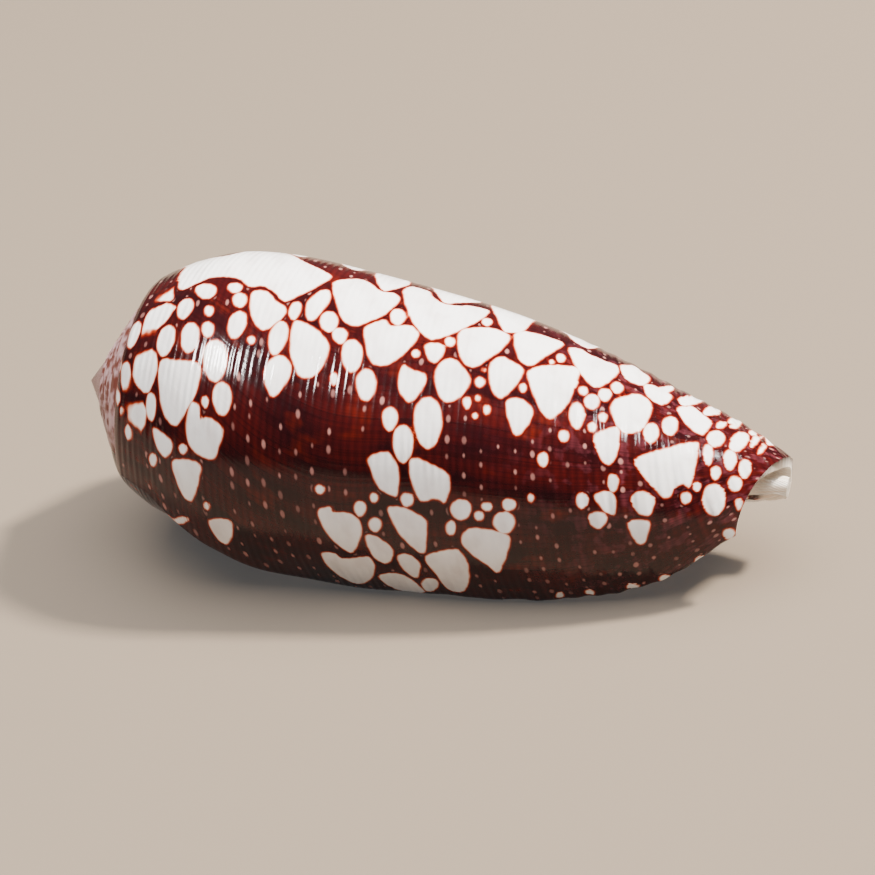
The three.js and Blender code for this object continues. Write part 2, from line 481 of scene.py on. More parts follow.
LOWER_TENTS = {
    "boat": [
        (317, 512), (331, 507), (333, 512), (349, 513), (360, 522), (361, 536), (353, 552),
        (341, 547), (327, 533),
    ],
    "high boat": [
        (388, 508), (404, 508), (425, 519), (427, 529), (425, 552), (416, 550), (401, 536),
        (393, 523),
    ],
    "small wing": [(365, 537), (376, 536), (393, 549), (391, 560), (384, 563), (373, 556)],
    "wide low": [
        (321, 554), (334, 553), (342, 558), (359, 557), (370, 557), (375, 568), (370, 580),
        (356, 584), (335, 573),
    ],
    "low drop": [(397, 556), (408, 554), (420, 563), (419, 575), (415, 578), (404, 570)],
    "shaded": [(379, 575), (404, 575), (425, 592), (404, 592), (387, 585)],
    "acorn": [
        (425, 556), (453, 549), (461, 552), (468, 564), (469, 581), (463, 592), (450, 591),
        (435, 573),
    ],
    "cushion": [(461, 538), (473, 528), (506, 534), (509, 548), (499, 572), (489, 566), (468, 551)],
}
SHOULDER_TENTS = {
    "corner": [(173, 283), (173, 293), (167, 301), (155, 302), (161, 292)],
    "slanting": [
        (154, 307), (172, 305), (173, 311), (161, 326), (149, 342), (142, 338), (145, 319),
    ],
    "block": [
        (160, 362), (176, 360), (200, 365), (197, 390), (187, 409), (177, 425), (168, 421),
        (160, 400),
    ],
    "boot": [
        (191, 403), (198, 404), (200, 413), (200, 419), (207, 417), (218, 423), (223, 431),
        (219, 447), (214, 459), (205, 458), (193, 451), (187, 438), (186, 419),
    ],
    "leaf": [(153, 428), (160, 431), (173, 443), (169, 455), (164, 457), (156, 445)],
    "shield": [
        (172, 462), (184, 459), (200, 464), (200, 476), (196, 492), (191, 501), (183, 496),
        (176, 479),
    ],
    "foot": [(209, 520), (230, 520), (233, 531), (229, 543), (223, 544), (214, 535)],
    "pear": [
        (293, 325), (299, 321), (314, 328), (324, 337), (329, 346), (325, 362), (315, 375),
        (305, 378), (297, 373), (290, 351),
    ],
    "cut pear": [
        (282, 355), (291, 365), (288, 380), (274, 397), (267, 388), (264, 374), (269, 361),
    ],
}

outlines = []
for region in (UPPER_EDGE_TENTS, UPPER_MIDDLE_TENTS, MIDDLE_TENTS, LOWER_TENTS, SHOULDER_TENTS):
    outlines += region.values()
print(len(outlines), "outlined tents")

# %% [markdown]
# A small tent is nearly an oval that narrows downwards. Five numbers describe one, and ten
# corners are enough to draw it. From then on it is treated like the larger outlines.

# %% Ovals for the small tents
# Across, down, half width, half height, and the degrees that the top leans right
UPPER_OVALS = [
    (295, 311, 6, 9, 12), (398, 317, 7.5, 8.5), (487, 322, 5, 4), (450, 342, 5, 5),
    (416, 354, 4, 4), (352, 356, 10.5, 16.5), (366, 385, 10, 16), (340, 336, 7.5, 8),
    (390, 419, 7.5, 12), (428, 423, 14, 26), (403, 444, 10, 19), (329, 322, 9, 10.5),
    (278, 338, 9, 17, 12), (334, 379, 4, 6.5), (561, 358, 4.5, 4.5), (552, 362, 2.5, 2.5),
    (523, 388, 3.5, 4.5), (484, 370, 2, 2), (480, 382, 5, 5), (467, 403, 4, 6.5),
    (478, 398, 3, 3), (475, 416, 3, 3), (487, 410, 3.5, 5), (577, 416, 7.6, 13.4),
    (583, 391, 4.5, 4.5), (592, 402, 7.5, 7.5), (605, 395, 6.5, 6.5), (617, 388, 6, 6),
    (603, 417, 4.5, 4.5), (592, 427, 4.5, 5), (564, 436, 5, 6), (543, 460, 5, 7.5),
    (651, 433, 7.6, 10), (670, 426, 7.6, 9.5),
]
LOWER_OVALS = [
    (407, 500, 6.5, 7), (374, 498, 4.5, 5), (360, 509, 6, 8), (375, 525, 6.5, 7.5),
    (430, 585, 8.5, 7), (461, 510, 10.5, 10.5), (451, 528, 5, 7.5), (479, 516, 5, 5),
    (487, 507, 5.5, 4.5), (504, 523, 11, 11), (509, 505, 7, 6), (531, 498, 3.5, 4.5),
    (582, 501, 6, 8), (598, 520, 9, 8.5), (613, 483, 5.5, 9), (320, 490, 5, 5),
]
FRONT_OVALS = [
    (714, 500, 11.5, 16), (716, 439, 9, 8), (739, 442, 9, 10, 20), (708, 455, 5, 11),
    (730, 460, 6.5, 10.5), (745, 469, 6, 9.5), (735, 484, 7, 8), (716, 473, 5, 7),
    (697, 487, 4, 5), (686, 498, 5, 6), (739, 504, 3.5, 6), (721, 425, 5, 4, 30),
    (735, 426, 5, 3, 30), (684, 399, 6, 3, 30), (755, 441, 4, 6, 30), (762, 449, 3, 6, 30),
]
FAR_EDGE_OVALS = [
    (664, 390, 9, 4, 32), (690, 401, 11, 4.5, 32), (713, 411, 10, 4.5, 30), (737, 421, 9, 4, 30),
    (757, 432, 8, 4, 30), (774, 442, 7, 4, 30),
]
LIP_OVALS = [
    (729, 534, 6, 6), (700, 562, 5, 5), (665, 579, 6, 4), (633, 588, 7, 3.5),
    (747, 505, 4, 4), (179, 521, 9, 4, 40), (590, 593, 5, 3), (560, 596, 4, 3),
]
SHOULDER_OVALS = [
    (185, 309, 7.5, 10.5, 15), (206, 291, 10.5, 7.5), (235, 288, 7, 5),
    (240, 300, 7.3, 7.3), (209, 311, 4.5, 5.5), (237, 325, 9, 14, 12),
    (166, 341, 8.5, 15.5, 12), (190, 338, 9, 15, 6), (208, 330, 6, 8), (215, 361, 12, 21),
    (145, 371, 12, 23, 6), (126, 378, 5, 17), (137, 417, 9, 19), (151, 407, 5, 14.5),
    (222, 399, 9.5, 17), (205, 402, 3.5, 6), (183, 449, 4.5, 5), (153, 460, 4, 7),
    (207, 506, 3, 4), (128, 432, 3, 8), (123, 412, 3, 6), (251, 340, 4, 4),
    (134, 335, 5, 14, 18), (119, 368, 2.5, 10, 8), (118, 398, 2, 8),
]

ovals = UPPER_OVALS + LOWER_OVALS + FRONT_OVALS + SHOULDER_OVALS + FAR_EDGE_OVALS + LIP_OVALS
print(len(ovals), "ovals")

# %% Turn the ovals into outlines
OVAL_POINTS = 10
OVAL_TAPER = 0.15


def oval_outline(across, down, half_width, half_height, lean=0):
    """Corners of an oval that narrows downwards."""
    turn = np.linspace(0, FULL_TURN, OVAL_POINTS, endpoint=False)
    y = half_height * np.sin(turn)
    x = half_width * np.cos(turn) * (1 - OVAL_TAPER * np.sin(turn))
    x -= y * math.tan(math.radians(lean))
    return np.stack([across + x, down + y], -1)


outlines += [oval_outline(*oval) for oval in ovals]
print("white tents that show:", len(outlines))

# %% [markdown]
# ## From the picture to the skin
#
# The camera shows where every probe point of the skin lands in the picture. So for each
# corner of a tent, the nearest probe point that faces the camera is taken, and then a
# small step along the skin brings it to the exact pixel. At the horizon the corner is
# moved a little over the top, because a tent goes on where the picture stops.

# %% Find the skin under a pixel
HORIZON = 0.14
OVER_HORIZON = 0.08
SEEN_TURN = 0.53
SEEN_LEVEL = -0.6


def facing_camera(points):
    """How squarely a grid of points on the skin faces the camera, from -1 to 1."""
    along_growth = np.gradient(points, axis=0)
    along_level = np.gradient(points, axis=1)
    normal = np.cross(along_growth, along_level)
    length = np.linalg.norm(normal, axis=2, keepdims=True)
    to_camera = camera_place - points
    to_camera /= np.linalg.norm(to_camera, axis=2, keepdims=True)
    return (normal / np.maximum(length, 1e-15) * to_camera).sum(2)


probe_points = (probe + settle) / 1000
probe_facing = facing_camera(probe_points)
probe_pixels = to_picture(probe_points)
probe_seen = (probe_facing > 0) & (probe_growth > -SEEN_TURN * FULL_TURN)
probe_seen &= probe_level > SEEN_LEVEL
seen_at = np.argwhere(probe_seen)
seen_pixels = probe_pixels[probe_seen]
probe_growth_step = probe_growth[1, 0] - probe_growth[0, 0]
probe_level_step = probe_level[0, 1] - probe_level[0, 0]
print(len(seen_at), "probe points face the camera")


def find_on_skin(pixel):
    """Growth and level of the skin under one pixel."""
    i, j = seen_at[np.argmin(np.hypot(*(seen_pixels - pixel).T))]
    i = min(max(i, 1), probe.shape[0] - 2)
    j = min(max(j, 1), probe.shape[1] - 2)
    for_growth = (probe_pixels[i + 1, j] - probe_pixels[i - 1, j]) / 2
    for_level = (probe_pixels[i, j + 1] - probe_pixels[i, j - 1]) / 2
    per_step = np.stack([for_growth, for_level], 1)
    steps = np.linalg.lstsq(per_step, pixel - probe_pixels[i, j], rcond=None)[0]
    growth_step, level_step = np.clip(steps, -1, 1)
    over = OVER_HORIZON * (1 - ease(probe_facing[i, j], 0, HORIZON))
    growth = probe_growth[i, j] + growth_step * probe_growth_step - over
    return growth, probe_level[i, j] + level_step * probe_level_step


def rounded(outline):
    """A closed outline with three more points on each side, so its corners are soft."""
    before = np.roll(outline, 1, axis=0)
    after = np.roll(outline, -1, axis=0)
    later = np.roll(outline, -2, axis=0)
    square = 2 * before - 5 * outline + 4 * after - later
    cube = 3 * outline - before - 3 * after + later
    rows = [
        outline + ((after - before) * t + square * t**2 + cube * t**3) / 2
        for t in (0, 0.25, 0.5, 0.75)
    ]
    return np.stack(rows, 1).reshape(-1, 2)


seen_tents = []
for outline in outlines:
    corners = [find_on_skin(np.array(corner, float)) for corner in outline]
    seen_tents.append(rounded(np.array(corners)))
print("tents found on the skin:", len(seen_tents))

# %% [markdown]
# ## Stamping the tents
#
# The paint needs to know, at every point of the skin, how far it is to the edge of the
# nearest tent. A colour per point would give ragged edges, but a distance changes evenly
# from point to point, so the shader can draw a clean edge between the points. Tents that
# nearly touch would blur together, so neighbours are kept in three separate layers.

# %% Distance from the skin's grid to a tent
LAYERS = 3
NO_TENT = -0.6
WINDOW_COLUMNS = 5
WINDOW_ROWS = 4

skin_mm = skin * 1000
tent_layers = np.full((LAYERS, *grid_growth.shape), NO_TENT)


def window_of(outline):
    """The part of the grid round a tent."""
    first = np.searchsorted(growths, outline[:, 0].min()) - WINDOW_COLUMNS
    last = np.searchsorted(growths, outline[:, 0].max()) + WINDOW_COLUMNS
    low = np.searchsorted(levels, outline[:, 1].min()) - WINDOW_ROWS
    high = np.searchsorted(levels, outline[:, 1].max()) + WINDOW_ROWS
    return np.s_[max(first, 0) : last, max(low, 0) : high]


def distance_inside(outline, window):
    """Millimetres to a tent's edge for each point of a window, positive inside it."""
    points = skin_mm[window]
    growth = grid_growth[window]
    level = grid_level[window]
    corners = place(*skin_coil(outline[:, 0], outline[:, 1])) * 1000
    nearest = np.full(growth.shape, np.inf)
    inside = np.zeros(growth.shape, bool)
    for k in range(len(outline)):
        start = corners[k - 1]
        side = corners[k] - start
        share = np.clip((points - start) @ side / max(side @ side, 1e-9), 0, 1)
        gap = points - start - share[..., None] * side
        nearest = np.minimum(nearest, np.sqrt((gap**2).sum(-1)))
        start_growth, start_level = outline[k - 1]
        rise = outline[k, 1] - start_level
        crosses = (start_level > level) != (outline[k, 1] > level)
        if crosses.any():
            meets = start_growth + (level - start_level) / rise * (outline[k, 0] - start_growth)
            inside ^= crosses & (growth < meets)
    return np.where(inside, nearest, -nearest)


def stamp(distance, window):
    """Puts a tent in the layer where it has most room."""
    crowding = [np.minimum(distance, layer[window]).max() for layer in tent_layers]
    layer = tent_layers[int(np.argmin(crowding))]
    layer[window] = np.maximum(layer[window], distance)


for outline in seen_tents:
    window = window_of(outline)
    stamp(distance_inside(outline, window), window)
print("share of the whorl under tents:", round(float((tent_layers.max(0) > 0).mean()), 2))

# %% [markdown]
# ## Tents on the side that isn't seen
#
# The far side needs tents of the same kind. They are thrown on like darts, the large ones
# first: each dart is a rounded triangle with its narrow end towards the lip, and it stays
# only where it keeps a thin dark line to its neighbours. A few patches take only small
# ones, which leaves dark ground there as on the seen side.

# %% Throw tents on the hidden side
LARGE_TENTS = np.linspace(1.9, 0.8, 1400)
SMALL_TENTS = np.linspace(0.8, 0.22, 2600)
SMALLEST_GAP = 0.2
CROWDED = 0.5
HIDDEN = 0.02
LAST_GROWTH = -0.03
LOWEST_LEVEL = -0.2
HIGHEST_LEVEL = 0.99
TENT_POINTS = 24
THREE_CORNERS = 0.17
TWO_CORNERS = 0.09
LONGEST_STRETCH = 1.5
TENT_SHEAR = 0.25
SMALL_IN_PATCH = 0.3
SIDE_LENGTH = SHELL_LENGTH - SIDE_START
RAMP_LENGTH = 5

# Dark patches: growth and level of the middle, and how far they reach in each
DARK_PATCHES = {
    "behind the shoulder": (-3.7, 0.16, 0.45, 0.14),
    "middle of the back": (-4.0, 0.58, 0.4, 0.24),
    "low on the back": (-4.9, 0.3, 0.45, 0.24),
    "low in the middle": (-5.6, 0.55, 0.35, 0.25),
    "near the canal": (-4.9, 0.85, 0.4, 0.1),
    "under the lip's shoulder": (-6.1, 0.0, 0.8, 0.3),
}
SEED = 11
dice = np.random.default_rng(SEED)
grid_facing = facing_camera(skin)


def in_dark_patch(growth, level):
    return any(
        ((growth - at) / growth_reach) ** 2 + ((level - across) / level_reach) ** 2 < 1
        for at, across, growth_reach, level_reach in DARK_PATCHES.values()
    )


def thrown_tent(growth, level, size):
    """Outline of a rounded triangle of a given size round a place on the skin."""
    turn = np.linspace(0, FULL_TURN, TENT_POINTS, endpoint=False)
    bend = dice.uniform(0, FULL_TURN)
    corners = 1 + THREE_CORNERS * np.cos(3 * turn) + TWO_CORNERS * np.cos(2 * turn + bend)
    stretch = dice.uniform(1.0, LONGEST_STRETCH)
    toward_lip = size * corners * np.cos(turn) * stretch
    across = size * corners * np.sin(turn) / stretch**0.5 + TENT_SHEAR * toward_lip
    radius = skin_coil(np.array(growth), np.array(level))[1]
    reach = level * (SIDE_LENGTH if level > 0 else RAMP_LENGTH) + across
    levels_across = np.where(reach > 0, reach / SIDE_LENGTH, reach / RAMP_LENGTH)
    return np.stack([growth + toward_lip / radius, levels_across], -1)


kept = 0
for size in [*LARGE_TENTS, *SMALL_TENTS]:
    growth = dice.uniform(-FULL_TURN, LAST_GROWTH)
    level = dice.uniform(LOWEST_LEVEL, HIGHEST_LEVEL)
    column = min(int(np.searchsorted(growths, growth)), len(growths) - 1)
    row = min(int(np.searchsorted(levels, level)), len(levels) - 1)
    is_seen = grid_facing[column, row] > HIDDEN and growth > -SEEN_TURN * FULL_TURN
    is_taken = tent_layers[:, column, row].max() > -min(size, CROWDED)
    if is_seen or is_taken or (size > SMALL_IN_PATCH and in_dark_patch(growth, level)):
        continue
    outline = thrown_tent(growth, level, size)
    window = window_of(outline)
    distance = distance_inside(outline, window)
    if np.minimum(distance, tent_layers.max(0)[window]).max() < -SMALLEST_GAP / 2:
        stamp(distance, window)
        kept += 1
print("tents thrown on the hidden side:", kept)

# %% [markdown]
# ## Building the mesh
#
# The sheets of the shell are joined along their edges: the spire's ramps, the last
# whorl, the floor and ceiling of the hollow, the lip's edge, and the tip of the
# columella. Fine and coarse edges are zipped together, so the mesh has no gaps.
#
# Every point also carries a few numbers for the paint: the spiral thread that it lies on,
# how far the shell had grown there, whether it is inside the shell or on the spire, and
# its distances to the tents.

# %% Helpers that collect points and faces
faces = []
point_blocks = []
paint_blocks = {"track": [], "grown": [], "inside": [], "spire": []}
tent_blocks = []

# A typical radius, which turns the angle of growth into millimetres round the whorl
GROWTH_RADIUS = 11


def add_points(coil, growth, inside=0.0, spire=0.0, tents=(NO_TENT,) * LAYERS):
    """Adds points given by axis position, radius and angle, and returns their numbers."""
    where = place(*coil)
    first = sum(len(block) for block in point_blocks)
    point_blocks.append(where.reshape(-1, 3))
    numbers = {
        "track": spiral_track(coil[0], growth),
        "grown": growth * GROWTH_RADIUS,
        "inside": inside,
        "spire": spire,
    }
    for name, value in numbers.items():
        paint_blocks[name].append(np.broadcast_to(value, where.shape[:-1]).ravel())
    tents = np.broadcast_to(tents, (*where.shape[:-1], LAYERS))
    tent_blocks.append(tents.reshape(-1, LAYERS))
    return np.arange(first, first + len(point_blocks[-1])).reshape(where.shape[:-1])


def add_face(*corners):
    distinct = list(dict.fromkeys(int(corner) for corner in corners))
    if len(distinct) > 2:
        faces.append(distinct)


def add_grid(columns):
    """A face for each cell of a grid of point numbers."""
    for left, right in zip(columns[:-1], columns[1:]):
        for k in range(len(left) - 1):
            add_face(left[k], right[k], right[k + 1], left[k + 1])


def zip_edges(left, right, left_at=None, right_at=None):
    """Fills the strip between two edges that may have different counts of points."""
    left_at = np.linspace(0, 1, len(left)) if left_at is None else left_at
    right_at = np.linspace(0, 1, len(right)) if right_at is None else right_at
    i = 0
    j = 0
    while i + 1 < len(left) or j + 1 < len(right):
        right_done = j + 1 == len(right)
        left_next = i + 1 < len(left) and (right_done or left_at[i + 1] <= right_at[j + 1])
        if left_next:
            add_face(left[i], right[j], left[i + 1])
            i += 1
        else:
            add_face(left[i], right[j], right[j + 1])
            j += 1

# %% [markdown]
# Each whorl covers most of the one before, so only a narrow ramp of the older whorls
# shows. The spire is therefore one strip of ramp, wound from the apex. Where two turns
# meet, they share their points.

# %% The spire's older ramps
OLD_COLUMNS = 160
ramp_shares = np.linspace(0, 1, RAMP_ROWS + 1)

apex_number = add_points((np.zeros(1), np.zeros(1), np.zeros(1)), np.zeros(1), spire=1.0)[0]
older = np.linspace(-SPIRE_TURNS * FULL_TURN, -FULL_TURN, (SPIRE_TURNS - 1) * OLD_COLUMNS + 1)
older_ramp = np.full((len(older), RAMP_ROWS + 1), apex_number)
old_growth, old_share = np.meshgrid(older[1:], ramp_shares[1:], indexing="ij")
older_ramp[1:, 1:] = add_points(ramp_coil(old_growth, old_share), old_growth, spire=1.0)
older_ramp[OLD_COLUMNS:, 0] = older_ramp[:-OLD_COLUMNS, RAMP_ROWS]
add_grid(older_ramp)
print("spire:", len(faces), "faces")

# %% [markdown]
# The last whorl is nearly all that shows. It takes the fine grid with its relief and its
# tents, and its suture is zipped to the older ramps, which have fewer columns. Where the
# old end of the tip comes out of the canal, the paint turns to cream.

# %% The last whorl
SPIRE_PAINT_LEVELS = (0.35, 0.75)
TIP_CREAM_LEVELS = (0.955, 0.97)
TIP_CREAM_GROWTHS = (3.4, 3.8)

grid_tents = np.moveaxis(tent_layers, 0, -1)
grid_spire = ease(-grid_level, *SPIRE_PAINT_LEVELS)
grid_inside = ease(grid_level, *TIP_CREAM_LEVELS) * ease(-grid_growth, *TIP_CREAM_GROWTHS)
grid_coil = np.stack([grid_along, grid_radius, grid_angle])

whorl = np.zeros(grid_growth.shape, int)
whorl[0, : RAMP_ROWS + 1] = older_ramp[-1]
grid_values = [grid_growth, grid_inside, grid_spire, grid_tents]
for part in (np.s_[1:, 1:], np.s_[0, RAMP_ROWS + 1 :]):
    coil = [values[part] for values in grid_coil]
    whorl[part] = add_points(coil, *[values[part] for values in grid_values])
suture = older_ramp[-OLD_COLUMNS - 1 :, RAMP_ROWS]
whorl[1:, 0] = suture[-1]
suture_growths = older[-OLD_COLUMNS - 1 :] + FULL_TURN
add_grid(whorl[:, 1:])
zip_edges(whorl[:, 1], suture, growths, suture_growths)
print("with the last whorl:", len(faces), "faces")

# %% [markdown]
# Behind the lip is the space where the animal lived. Its ceiling is the inside of the
# outer wall, and its floor is the shell of one turn before. It ends after three quarters
# of a turn, where the slit no longer lets anyone look in.

# %% The hollow behind the lip
INNER_COLUMNS = 60
INNER_ROWS = 40
roof_row = RAMP_ROWS + round(HOLLOW_ROOF * SIDE_ROWS)


def inner_coil(growth, fraction):
    """The inside of the outer wall, which meets the outside along the lip's edge."""
    along, radius, angle = side_coil(scalloped(growth, fraction), fraction)
    before = side_coil(growth - FULL_TURN, fraction)[1]
    wall = LIP_WALL + (WALL - LIP_WALL) * ease(-growth, 0, LIP_TAPER_ANGLE)
    wall = np.minimum(wall, (radius - before) / 2)
    dip = (wall - EDGE_ROUNDING) * rounding(growth, fraction)
    return along, radius - wall + dip, angle


deep = np.linspace(-EDGE_ANGLE, -HOLLOW_ANGLE, INNER_COLUMNS + 1)
inner_growths = np.concatenate([edge[1:-1][::-1], deep])
inner_fractions = np.linspace(levels[roof_row], 1, INNER_ROWS + 1)
inner_growth, inner_fraction = np.meshgrid(inner_growths, inner_fractions, indexing="ij")
ceiling = add_points(inner_coil(inner_growth, inner_fraction), inner_growth, inside=1.0)
floor_growth = inner_growth - FULL_TURN
hollow_floor = add_points(side_coil(floor_growth, inner_fraction), floor_growth, inside=1.0)
lip_edge = whorl[-1, roof_row:]
floor_edge = whorl[0, roof_row:]
zip_edges(lip_edge, ceiling[0])
add_grid(ceiling)
zip_edges(hollow_floor[0], floor_edge)
add_grid(hollow_floor[::-1])
zip_edges(ceiling[-1], hollow_floor[-1])
roof_outer = [lip_edge[0], *ceiling[:, 0]]
roof_inner = [floor_edge[0], *hollow_floor[:, 0]]
zip_edges(roof_outer, roof_inner)
print("with the hollow:", len(faces), "faces")

# %% [markdown]
# Three gaps are left: the growing end between the shoulder and the roof of the hollow, the
# rim of the canal, and the tip of the columella. A fan of faces closes the first and the
# last, and the rim is zipped.

# %% The growing end, the canal's rim and the columella's tip
END_SHARE = 0.3
END_DEPTH = 0.88
TIP_POINT = 0.1

growing_end = [*whorl[-1, : roof_row + 1], *whorl[0, RAMP_ROWS + 1 : roof_row + 1][::-1]]
end_level = np.array([levels[roof_row] * END_SHARE])
end_along, end_radius, end_angle = side_coil(np.zeros(1), end_level)
end_centre = add_points((end_along, end_radius * END_DEPTH, end_angle), np.zeros(1))[0]
for first, second in zip(growing_end, growing_end[1:] + growing_end[:1]):
    add_face(end_centre, second, first)

over_hollow = growths >= -HOLLOW_ANGLE
rim_start = int(np.argmax(over_hollow))
front_rim = whorl[rim_start:, -1]
canal_rim = np.concatenate([[lip_edge[-1]], ceiling[:, -1]])[::-1]
canal_at = np.concatenate([[0], inner_growths])[::-1]
zip_edges(canal_rim, front_rim, canal_at, growths[rim_start:])

tip_coil = (np.array([SHELL_LENGTH + TIP_POINT]), np.zeros(1), np.zeros(1))
columella_tip = add_points(tip_coil, np.zeros(1), inside=1.0)[0]
columella_edge = [*whorl[: rim_start + 1, -1], canal_rim[0], *hollow_floor[:, -1][::-1]]
for first, second in zip(columella_edge, columella_edge[1:] + columella_edge[:1]):
    add_face(columella_tip, first, second)
print("whole shell:", len(faces), "faces")

# %% [markdown]
# Blender takes the points and faces as they are, and the numbers for the paint become
# attributes of the points. The fine mesh then takes the place of the plain solid.

# %% Make the mesh and let it stand for the solid
SHARP_ANGLE = math.radians(50)

shell_mesh = bpy.data.meshes.new("shell_skin")
shell_mesh.from_pydata(np.concatenate(point_blocks).tolist(), [], faces)
for name, blocks in paint_blocks.items():
    attribute = shell_mesh.attributes.new(name, "FLOAT", "POINT")
    attribute.data.foreach_set("value", np.concatenate(blocks).astype(np.float32))
tents_attribute = shell_mesh.attributes.new("tents", "FLOAT_VECTOR", "POINT")
tents_attribute.data.foreach_set("vector", np.concatenate(tent_blocks).astype(np.float32).ravel())
shell_mesh.shade_smooth()
shell_mesh.set_sharp_from_angle(angle=SHARP_ANGLE)
shell = bpy.data.objects.new("shell_skin", shell_mesh)
bpy.context.scene.collection.objects.link(shell)
shell_mesh.validate(verbose=True)
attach(shell, "root")
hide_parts("cone_shell")
triangles = sum(len(face.vertices) - 2 for face in shell_mesh.polygons)
print("skin:", len(shell_mesh.vertices), "points,", triangles, "triangles")

# %% [markdown]
# ## The paint and the glaze
#
# The colour lies in the outer layer of the shell: a deep maroon ground with clouds and
# growth bands, porcelain white tents with a thin orange fringe, and rows of tiny pale
# dots that follow the spiral threads. Node materials can draw all of it from the numbers
# stored on the points, with no image. Colours are written as 0 to 255 values, as a colour
# picker shows them, and turned into the light values that Blender works with.


# %% Helpers for the node material
def paint(red, green, blue):
    """A colour picker's values as Blender's linear colour."""
    shares = np.array([red, green, blue]) / 255
    linear = np.where(shares < 0.04045, shares / 12.92, ((shares + 0.055) / 1.055) ** 2.4)
    return (*linear.tolist(), 1.0)


glaze = bpy.data.materials.new("glazed_shell")
glaze.use_nodes = True
tree = glaze.node_tree
shader = tree.nodes["Principled BSDF"]


def feed(socket, value):
    if isinstance(value, bpy.types.NodeSocket):
        tree.links.new(value, socket)
    else:
        socket.default_value = value


def made_node(kind, inputs, output=0, **settings):
    """A new node with its inputs filled, and one of its outputs to go on with."""
    fresh = tree.nodes.new(kind)
    for name, value in settings.items():
        setattr(fresh, name, value)
    for name, value in inputs.items():
        feed(fresh.inputs[name], value)
    return fresh.outputs[output]


def calculate(operation, first, second=0.0, third=0.0):
    inputs = {0: first, 1: second, 2: third}
    return made_node("ShaderNodeMath", inputs, operation=operation)


def times(first, second):
    return calculate("MULTIPLY", first, second)


def plus(first, second):
    return calculate("ADD", first, second)


def minus(first, second):
    return calculate("SUBTRACT", first, second)


def step_between(value, low, high, kind="SMOOTHSTEP"):
    """0 at low, 1 at high, and smooth between. Low may be the larger one."""
    inputs = {"Value": value, "From Min": low, "From Max": high}
    return made_node("ShaderNodeMapRange", inputs, interpolation_type=kind)


def blend(share, first, second):
    inputs = {0: share, 6: first, 7: second}
    return made_node("ShaderNodeMix", inputs, output=2, data_type="RGBA")


def number_on_skin(name):
    return made_node("ShaderNodeAttribute", {}, output="Fac", attribute_name=name)


track = number_on_skin("track")
grown = number_on_skin("grown")


def noise_along(per_track, per_grown, detail=2.0):
    """Noise with so many bumps per millimetre along the axis and along the growth."""
    scaled = {"X": times(track, per_track), "Y": times(grown, per_grown), "Z": 0.0}
    vector = made_node("ShaderNodeCombineXYZ", scaled)
    inputs = {"Vector": vector, "Scale": 1.0, "Detail": detail}
    return made_node("ShaderNodeTexNoise", inputs, output="Fac")


# %% [markdown]
# The ground is not one brown. Soft clouds, bands that run with the growth lines, and fine
# darker lines along the spiral threads are laid over each other, as in the real layer of
# pigment. Towards the front it turns lighter and more purple. Noise mostly lies between
# 0.3 and 0.7, so a step between two such values sets how much of the skin gets a pattern.

# %% Ground colour
DEEP_MAROON = paint(34, 7, 10)
RED_BROWN = paint(64, 12, 11)
ORANGE_BROWN = paint(104, 27, 12)
PURPLE_BROWN = paint(98, 44, 52)
DARK_LINE = paint(28, 5, 6)
CLOUD_SHARE = 0.55
EMBER_STRENGTH = 0.5
PURPLE_STRENGTH = 0.55
PURPLE_FROM = 33.0
PURPLE_FULL = 46.0
THREAD_PITCH = 0.55
THREAD_DARKNESS = 0.8
GROWTH_LINE_DARKNESS = 0.5

cloud = noise_along(0.22, 0.3)
band = noise_along(0.04, 0.75, detail=3.0)
clouded = plus(times(cloud, CLOUD_SHARE), times(band, 1 - CLOUD_SHARE))
ground = blend(step_between(clouded, 0.36, 0.64), DEEP_MAROON, RED_BROWN)
ember = step_between(noise_along(0.3, 0.5), 0.56, 0.74)
ground = blend(times(ember, EMBER_STRENGTH), ground, ORANGE_BROWN)
to_front = step_between(track, PURPLE_FROM, PURPLE_FULL)
squiggle = step_between(noise_along(0.9, 0.8, detail=4.0), 0.5, 0.6)
ground = blend(times(times(to_front, squiggle), PURPLE_STRENGTH), ground, PURPLE_BROWN)
thread_wave = calculate("SINE", times(track, FULL_TURN / THREAD_PITCH))
thread = calculate("MULTIPLY_ADD", thread_wave, 0.5, 0.5)
thread_share = times(thread, noise_along(0.2, 0.5))
ground = blend(times(thread_share, THREAD_DARKNESS), ground, DARK_LINE)
growth_lines = noise_along(0.05, 4.5, detail=4.0)
growth_share = step_between(growth_lines, 0.45, 0.65)
ground = blend(times(growth_share, GROWTH_LINE_DARKNESS), ground, DARK_LINE)
print("ground uses", len(tree.nodes), "nodes so far")

# %% [markdown]
# The tents come from the three layers of distances. The largest one counts. A little
# noise and the threads shake the distance, so the edges waver as pigment does. From
# outside in, the colour goes from a dark rim over orange and pink to white.

# %% White tents
FRINGE_SHAKE = 0.14
THREAD_SHAKE = 0.012
WHITE_FROM = 0.15
MILK_STRENGTH = 0.6
PORCELAIN_SHADE = paint(214, 203, 200)

# Millimetres inside the tent's edge, the colour there, and how much it covers the ground
FRINGE = [
    (-0.2, DARK_LINE, 0.0),
    (-0.09, paint(92, 16, 8), 0.85),
    (-0.03, paint(158, 58, 28), 1.0),
    (0.03, paint(220, 168, 146), 1.0),
    (0.11, paint(242, 238, 236), 1.0),
]

